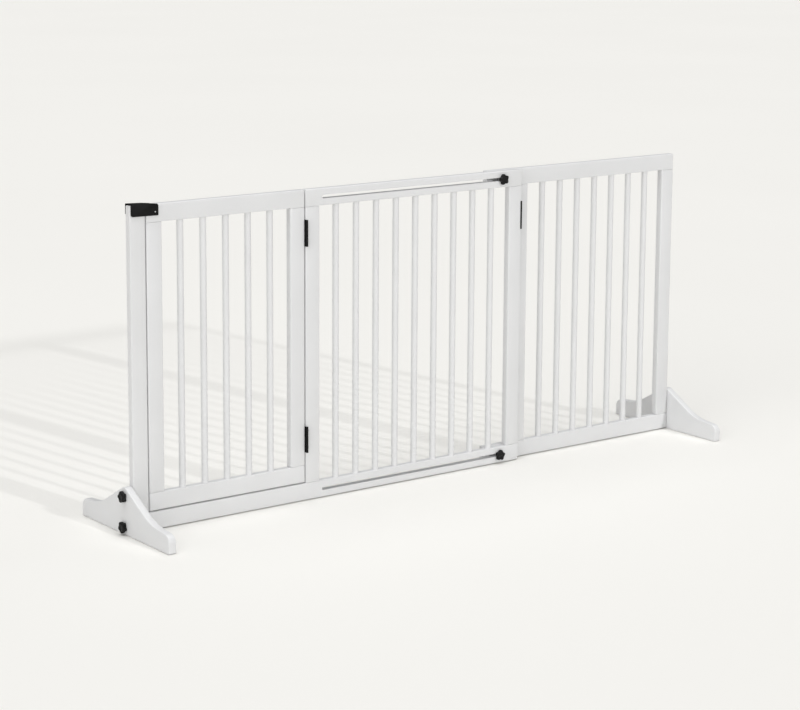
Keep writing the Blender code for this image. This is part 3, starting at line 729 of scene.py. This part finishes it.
def build_foot(node, body):
    """A foot cut from thick board, with every edge of its outline rounded over."""
    low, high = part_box(node)
    centre_y = (low.y + high.y) / 2
    half_length = (high.y - low.y) / 2
    apex_rounding = FOOT_APEX_RADIUS * (1 / math.cos(math.atan(FOOT_FLANK_FALL)) - 1)
    outline = foot_outline(half_length, high.z + apex_rounding)
    rings = []
    for side in (-1, 1):
        face = low.x if side < 0 else high.x
        steps = range(FOOT_ROUNDOVER_STEPS + 1)
        for step in (steps if side < 0 else reversed(steps)):
            angle = math.pi / 2 * step / FOOT_ROUNDOVER_STEPS
            depth = ROUNDOVER * (1 - math.sin(angle))
            margin = ROUNDOVER * (1 - math.cos(angle))
            rings.append((inset(outline, depth), face - side * margin))
    mesh = loft(rings, lambda p, x: Vector((x, centre_y + p.x, p.y)))
    fit_to_gate(to_object(node + "_board", mesh, foot_paint), body, "white_paint", node)


# ---------------------------------------------------------------------------- hardware

def knob_ring(turn, shrink):
    """One level of a knob: the lobes die out towards the middle of the cap."""
    lobe = KNOB_LOBE * max(0.0, 1 - shrink / KNOB_LOBE_FADE)
    ring = []
    for i in range(KNOB_POINTS):
        angle = 2 * math.pi * i / KNOB_POINTS
        radius = KNOB_RADIUS - shrink + lobe * math.cos(KNOB_LOBES * angle)
        ring.append(Vector((radius * math.cos(angle + turn), radius * math.sin(angle + turn))))
    return ring


def build_knob(node):
    """A moulded star knob with a soft rim, a shallow dish in its cap and a socket for its stud."""
    joint = next(joint for joint in frame["joints"] if joint["child"] == node)
    seat = Vector(joint["pos_m"])
    direction = Vector(joint["axis"])
    turn = math.radians(KNOB_TURNS[node])
    socket = KNOB_RADIUS - KNOB_SOCKET_RADIUS
    rings = [(knob_ring(turn, socket), KNOB_SOCKET_DEPTH), (knob_ring(turn, socket), 0.0)]
    rings += [(knob_ring(turn, shrink), level) for shrink, level in KNOB_PROFILE]
    upright = Vector((0, 0, 1)).rotation_difference(direction)

    def place(point, level):
        return seat + upright @ Vector((point.x, point.y, level))

    name = node.replace("knob", "star_knob")
    item = to_object(name, loft(rings, place), knob_plastic, CRISP_KNOB)
    fit_to_gate(item, node, "black_plastic", node)


def merge(solids):
    """Put several closed shells into one mesh."""
    whole = bmesh.new()
    for solid in solids:
        data = bpy.data.meshes.new("shell")
        solid.to_mesh(data)
        solid.free()
        whole.from_mesh(data)
        bpy.data.meshes.remove(data)
    return whole


def eased_box(low, high, arris):
    """A plate or block with its edges taken off."""
    mesh = bmesh.new()
    bmesh.ops.create_cube(mesh, size=1.0)
    for vertex in mesh.verts:
        vertex.co = [low[a] if vertex.co[a] < 0 else high[a] for a in range(3)]
    round_edges(mesh, mesh.edges[:], arris)
    return mesh


def turned(profile, axis_x, axis_y, sides):
    """A solid of revolution about an upright axis, from (radius, height) pairs that close."""
    mesh = bmesh.new()
    loops = []
    for radius, level in profile:
        loops.append([
            mesh.verts.new((
                axis_x + radius * math.cos(2 * math.pi * i / sides),
                axis_y + radius * math.sin(2 * math.pi * i / sides),
                level,
            ))
            for i in range(sides)
        ])
    for lower, upper in zip(loops, loops[1:] + loops[:1]):
        for i in range(sides):
            j = (i + 1) % sides
            mesh.faces.new((lower[i], lower[j], upper[j], upper[i]))
    bmesh.ops.recalc_face_normals(mesh, faces=mesh.faces)
    return mesh


def knuckle(axis_x, axis_y, low, high):
    """A rolled tube whose ends are tumbled smooth."""
    soft = 2 * STEEL_ARRIS
    belly = soft * ARRIS_BELLY
    profile = (
        (HINGE_BORE, low), (HINGE_BARREL - soft, low), (HINGE_BARREL - belly, low + belly),
        (HINGE_BARREL, low + soft), (HINGE_BARREL, high - soft),
        (HINGE_BARREL - belly, high - belly), (HINGE_BARREL - soft, high), (HINGE_BORE, high),
    )
    return turned(profile, axis_x, axis_y, HINGE_SIDES)


def build_hinge(name):
    """A butt hinge: two thin leaves between the stiles, their knuckles and a headless pin."""
    pin_low, pin_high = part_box(name + "_pin")
    axis_x = (pin_low.x + pin_high.x) / 2
    axis_y = (pin_low.y + pin_high.y) / 2
    door_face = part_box("door_hinge_stile")[1].x + HINGE_SEAM
    frame_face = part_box("middle_left_stile")[0].x - HINGE_SEAM
    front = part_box("middle_left_stile")[0].y
    pitch = (pin_high.z - pin_low.z) / HINGE_KNUCKLES
    arm_end = axis_y + HINGE_BORE + STEEL_ARRIS
    for node, body, first_knuckle, low_x, high_x in (
        (name + "_frame_leaf", "frame", 0, frame_face - HINGE_LEAF, frame_face),
        (name + "_door_leaf", "door", 1, door_face, door_face + HINGE_LEAF),
    ):
        leaf_end = (high_x, front + HINGE_LEAF_DEPTH, pin_high.z)
        shells = [eased_box((low_x, front, pin_low.z), leaf_end, STEEL_ARRIS)]
        for index in range(first_knuckle, HINGE_KNUCKLES, 2):
            low = pin_low.z + pitch * index + HINGE_CLEARANCE / 2
            high = pin_low.z + pitch * (index + 1) - HINGE_CLEARANCE / 2
            arm_root = (high_x, front + HINGE_BARREL, high)
            shells.append(eased_box((low_x, arm_end, low), arm_root, STEEL_ARRIS))
            shells.append(knuckle(axis_x, axis_y, low, high))
        item = to_object(node + "_plate", merge(shells), black_steel)
        fit_to_gate(item, body, "black_steel", node)
    soft = STEEL_ARRIS
    pin = turned(
        (
            (PIN_CENTRE, pin_low.z), (HINGE_PIN - soft, pin_low.z), (HINGE_PIN, pin_low.z + soft),
            (HINGE_PIN, pin_high.z - soft), (HINGE_PIN - soft, pin_high.z), (PIN_CENTRE, pin_high.z),
        ),
        axis_x, axis_y, HINGE_SIDES,
    )
    item = to_object(name + "_round_pin", pin, black_steel)
    fit_to_gate(item, "door", "black_steel", name + "_pin")


def build_latch():
    """A strip of sheet folded into a channel that straddles the door's rail and the post."""
    low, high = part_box("latch")
    pin_low, pin_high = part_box("latch_pin")
    pin = (pin_low + pin_high) / 2
    web_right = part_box("end_post")[1].x + LATCH_WEB_PAST_POST

    def outline(back):
        """The cheek's side view; 'back' is 0 at the front face and 1 at the back one."""
        top = high.z - back * LATCH_WEB_BACK_FALL
        return fillet([
            ((low.x, low.z + LATCH_LOWER_EDGE_RISE), LATCH_TOE_RADIUS),
            ((high.x, low.z), LATCH_HEEL_RADIUS),
            ((high.x, top - LATCH_WEB_FALL - LATCH_NOSE_FALL), LATCH_NOSE_RADIUS),
            ((web_right, top - LATCH_WEB_FALL), 0),
            ((low.x, top), 0),
        ], LATCH_CORNER_STEPS)

    block = loft([(outline(0), low.y), (outline(1), high.y)], along_y)
    item = to_object("folded_latch", block, black_steel)
    margin = high.x - low.x
    left, right = low.x - margin, high.x + margin
    hollow = []
    for y in (low.y + LATCH_SHEET, high.y - LATCH_SHEET):
        back = (y - low.y) / (high.y - low.y)
        level = high.z - back * LATCH_WEB_BACK_FALL - LATCH_SHEET
        slope = LATCH_WEB_FALL / (web_right - low.x)
        hollow.append(([
            Vector((left, low.z - margin)), Vector((right, low.z - margin)),
            Vector((right, high.z + margin)), Vector((web_right, high.z + margin)),
            Vector((web_right, level - LATCH_WEB_FALL)), Vector((left, level + slope * margin)),
        ], y))
    cut(item, loft(hollow, along_y), "hollow")
    back_bottom = low.z + LATCH_BACK_CHEEK_RISE
    below = [
        Vector((left, low.z - margin)), Vector((right, low.z - margin)),
        Vector((right, back_bottom)), Vector((left, back_bottom)),
    ]
    cut(item, loft([(below, pin.y), (below, high.y + margin)], along_y), "back_trim")
    bore = circle((pin.x, pin.z), LATCH_BORE, RIVET_SIDES)
    cut(item, loft([(bore, low.y - margin), (bore, high.y + margin)], along_y), "bore")
    ease_latch(item, low, high, web_right)
    fit_to_gate(item, "latch", "black_steel", "latch")
    build_rivet(pin, (pin_high - pin_low) / 2)


def ease_latch(item, low, high, web_right):
    """Round the two long folds of the latch and take off its cut edges."""
    mesh = bmesh.new()
    mesh.from_mesh(item.data)
    bmesh.ops.remove_doubles(mesh, verts=mesh.verts, dist=LATCH_WELD)
    bmesh.ops.dissolve_limit(
        mesh, angle_limit=math.radians(LATCH_FLAT_WITHIN), verts=mesh.verts, edges=mesh.edges,
    )
    web_bottom = high.z - LATCH_WEB_BACK_FALL - LATCH_WEB_FALL - SAME_PLACE

    def on_fold(point):
        on_face = abs(point.y - low.y) < SAME_FACE or abs(point.y - high.y) < SAME_FACE
        return on_face and point.z > web_bottom and point.x < web_right + SAME_PLACE

    folds = [
        edge for edge in mesh.edges
        if all(on_fold(v.co) for v in edge.verts) and edge.calc_length() > LATCH_SHORTEST_FOLD
    ]
    round_edges(mesh, folds, LATCH_FOLD_RADIUS, LATCH_FOLD_STEPS)
    crisp = math.radians(LATCH_EASED_ABOVE)
    sharp = [edge for edge in mesh.edges if edge.is_manifold and edge.calc_face_angle(0.0) > crisp]
    round_edges(mesh, sharp, LATCH_ARRIS)
    mesh.to_mesh(item.data)
    mesh.free()
    item.data.shade_smooth()
    item.data.set_sharp_from_angle(angle=math.radians(CRISP_LATCH))


def build_rivet(pin, half_size):
    """The latch's pin, with a low domed head at each end."""
    heads = [(share, -level) for share, level in RIVET_PROFILE]
    heads += [(share, level) for share, level in reversed(RIVET_PROFILE)]
    rings = [
        (circle((pin.x, pin.z), half_size.x * share, RIVET_SIDES), pin.y + half_size.y * level)
        for share, level in heads
    ]
    rivet = to_object("latch_rivet", loft(rings, along_y), zinc)
    fit_to_gate(rivet, "door", "zinc_steel", "latch_pin")


def build_guard():
    """A thin black angle wrapped round the front corner of the middle panel's right stile."""
    low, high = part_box("edge_guard")
    corners = [
        ((high.x, low.y), GUARD_CORNER),
        ((high.x, high.y), 0),
        ((high.x - GUARD_SHEET, high.y), 0),
        ((high.x - GUARD_SHEET, low.y + GUARD_SHEET), GUARD_INNER_CORNER),
        ((low.x, low.y + GUARD_SHEET), 0),
        ((low.x, low.y), 0),
    ]
    outline = fillet(corners, GUARD_CORNER_STEPS)
    soft = STEEL_ARRIS / 2
    rings = [
        (inset(outline, soft), low.z), (outline, low.z + soft),
        (outline, high.z - soft), (inset(outline, soft), high.z),
    ]
    strip = loft(rings, lambda point, z: Vector((point.x, point.y, z)))
    fit_to_gate(to_object("edge_guard_strip", strip, black_steel), "frame", "black_steel", "edge_guard")


# ---------------------------------------------------------------------------- studio

def add_sun(name, place, power, spread):
    """Light from the side of a place towards the middle of the gate, as soft as its spread."""
    light = bpy.data.lights.new(name, "SUN")
    light.energy = power
    light.angle = math.radians(spread)
    lamp = bpy.data.objects.new(name, light)
    lamp.location = place
    aim = (cad_low + cad_high) / 2
    lamp.rotation_euler = (aim - Vector(place)).to_track_quat("-Z", "Y").to_euler()
    bpy.context.scene.collection.objects.link(lamp)


def build_studio():
    """A wide pale floor under a dim sky, one crisp lamp in front and two broad soft ones."""
    floor_mesh = bmesh.new()
    bmesh.ops.create_grid(floor_mesh, x_segments=1, y_segments=1, size=FLOOR_SIZE)
    floor = to_object("floor", floor_mesh, floor_finish())

    world = bpy.data.worlds.new("studio")
    bpy.context.scene.world = world
    world.use_nodes = True
    sky = world.node_tree.nodes["Background"]
    sky.inputs["Color"].default_value = SKY_COLOUR
    sky.inputs["Strength"].default_value = SKY_LEVEL

    add_sun("key_lamp", KEY_PLACE, KEY_POWER, KEY_SPREAD)
    add_sun("left_glow", LEFT_PLACE, LEFT_POWER, LEFT_SPREAD)
    add_sun("overhead_glow", OVERHEAD_PLACE, OVERHEAD_POWER, OVERHEAD_SPREAD)


def build_camera():
    """A long lens from the front left, above the gate and looking down on it."""
    yaw = math.radians(CAMERA_YAW)
    pitch = math.radians(CAMERA_PITCH)
    roll = math.radians(CAMERA_ROLL)
    ahead = Vector((
        math.sin(yaw) * math.cos(pitch), math.cos(yaw) * math.cos(pitch), -math.sin(pitch),
    ))
    level = Vector((math.cos(yaw), -math.sin(yaw), 0))
    up = level.cross(ahead)
    right = level * math.cos(roll) + up * math.sin(roll)
    top = up * math.cos(roll) - level * math.sin(roll)
    data = bpy.data.cameras.new("camera")
    data.sensor_width = SENSOR_WIDTH
    data.lens = CAMERA_FOCAL * SENSOR_WIDTH / IMAGE_WIDTH
    data.shift_y = CAMERA_SHIFT / IMAGE_WIDTH
    data.clip_start = CLIP_START
    data.clip_end = CLIP_END
    camera = bpy.data.objects.new("camera", data)
    turn = Matrix((right, top, -ahead)).transposed().to_4x4()
    camera.matrix_world = Matrix.Translation(CAMERA_PLACE) @ turn
    bpy.context.scene.collection.objects.link(camera)
    bpy.context.scene.camera = camera


# ---------------------------------------------------------------------------- the gate

build_camera()
build_studio()
build_fixed_boards()
build_panel_boards("door", "door_top_rail", "door_bottom_rail", "door_latch_stile", "door_hinge_stile")
build_panel_boards(
    "sliding_panel", "extension_top_rail", "extension_bottom_rail",
    "extension_inner_stile", "extension_outer_stile",
)
bars = bar_row_tree()
build_bars(bars, "door", 5, "door", "door_bottom_rail", "door_top_rail")
build_bars(bars, "middle", 9, "frame", "bottom_rail", "middle_top_rail")
build_bars(bars, "extension", 7, "sliding_panel", "extension_bottom_rail", "extension_top_rail")
build_foot("left_foot", "frame")
build_foot("right_foot", "sliding_panel")

for knob in KNOB_TURNS:
    build_knob(knob)
build_hinge("upper_hinge")
build_hinge("lower_hinge")
build_latch()
build_guard()

# The studs and sleeves that still show are zinc plated
for item in frame["nodes"].values():
    if not item.hide_render:
        item.data.materials.clear()
        item.data.materials.append(zinc)

scene = bpy.context.scene
scene.view_settings.view_transform = "Standard"
scene.view_settings.look = "None"
